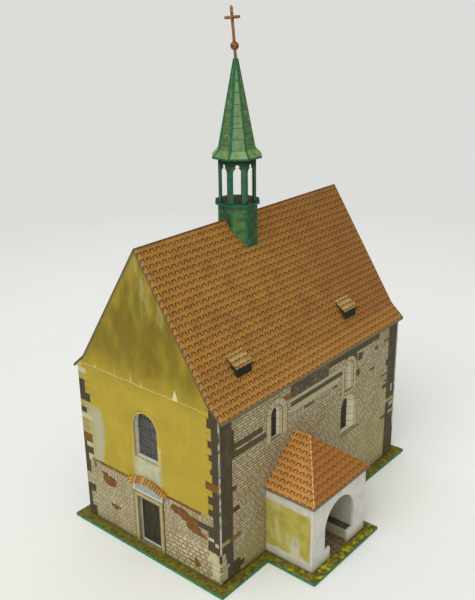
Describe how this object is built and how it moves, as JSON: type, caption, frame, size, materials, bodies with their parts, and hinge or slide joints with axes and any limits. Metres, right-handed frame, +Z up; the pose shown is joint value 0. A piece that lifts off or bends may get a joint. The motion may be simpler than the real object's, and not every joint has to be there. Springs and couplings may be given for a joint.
{
  "type": "card model church with porch and ridge turret",
  "caption": "Hollow folded-card model of a small church: steep bell-cast roof, shed dormers, open octagonal ridge turret with spire, vaulted porch with benches, on a card base.",
  "frame": {"origin": "centre of the nave's footprint on the underside of the base card", "axes": "+X along the nave from the west gable to the east gable, +Y to the north, away from the porch, +Z up to the cross"},
  "size_m": [0.1074, 0.0849, 0.1652],
  "materials": {
    "grass_card": "matte",
    "gable_card": "matte",
    "stone_card": "matte",
    "roof_card": "matte",
    "reveal_card": "matte",
    "pane_card": "satin",
    "surround_card": "matte",
    "pediment_card": "matte",
    "hood_card": "matte",
    "door_card": "matte",
    "dormer_card": "matte",
    "copper_card": "matte",
    "finial_metal": "satin",
    "porch_card": "matte",
    "bench_card": "matte",
    "floor_card": "matte",
    "porch_roof_card": "matte"
  },
  "bodies": {
    "root": {"base_card": "grass_card", "west_gable_wall": "gable_card", "east_gable_wall": "gable_card", "south_wall": "stone_card", "north_wall": "stone_card", "nave_roof_south": "roof_card", "nave_roof_north": "roof_card", "west_window_reveal": "reveal_card", "east_window_reveal": "reveal_card", "south_west_slit_reveal": "reveal_card", "south_east_slit_reveal": "reveal_card", "south_low_window_reveal": "reveal_card", "north_west_slit_reveal": "reveal_card", "north_east_slit_reveal": "reveal_card", "west_door_reveal": "reveal_card", "west_window_pane": "pane_card", "east_window_pane": "pane_card", "south_window_panes": "pane_card", "north_window_panes": "pane_card", "west_door_surround": "surround_card", "west_door_pediment": "pediment_card", "west_door_hood": "hood_card", "west_door_leaf": "door_card", "porch_door": "door_card", "dormer_south_west": "dormer_card", "dormer_south_east": "dormer_card", "dormer_north_west": "dormer_card", "dormer_north_east": "dormer_card", "turret_drum": "copper_card", "turret_gallery": "copper_card", "turret_lantern": "copper_card", "lantern_ceiling": "copper_card", "spire_skirt": "copper_card", "spire": "copper_card", "finial_stem": "finial_metal", "finial_ball": "finial_metal", "finial_cross": "finial_metal", "porch_front_wall": "porch_card", "porch_west_wall": "porch_card", "porch_east_wall": "porch_card", "porch_vault": "porch_card", "porch_bench_west": "bench_card", "porch_bench_east": "bench_card", "porch_floor": "floor_card", "porch_roof": "porch_roof_card"}
  },
  "joints": []
}
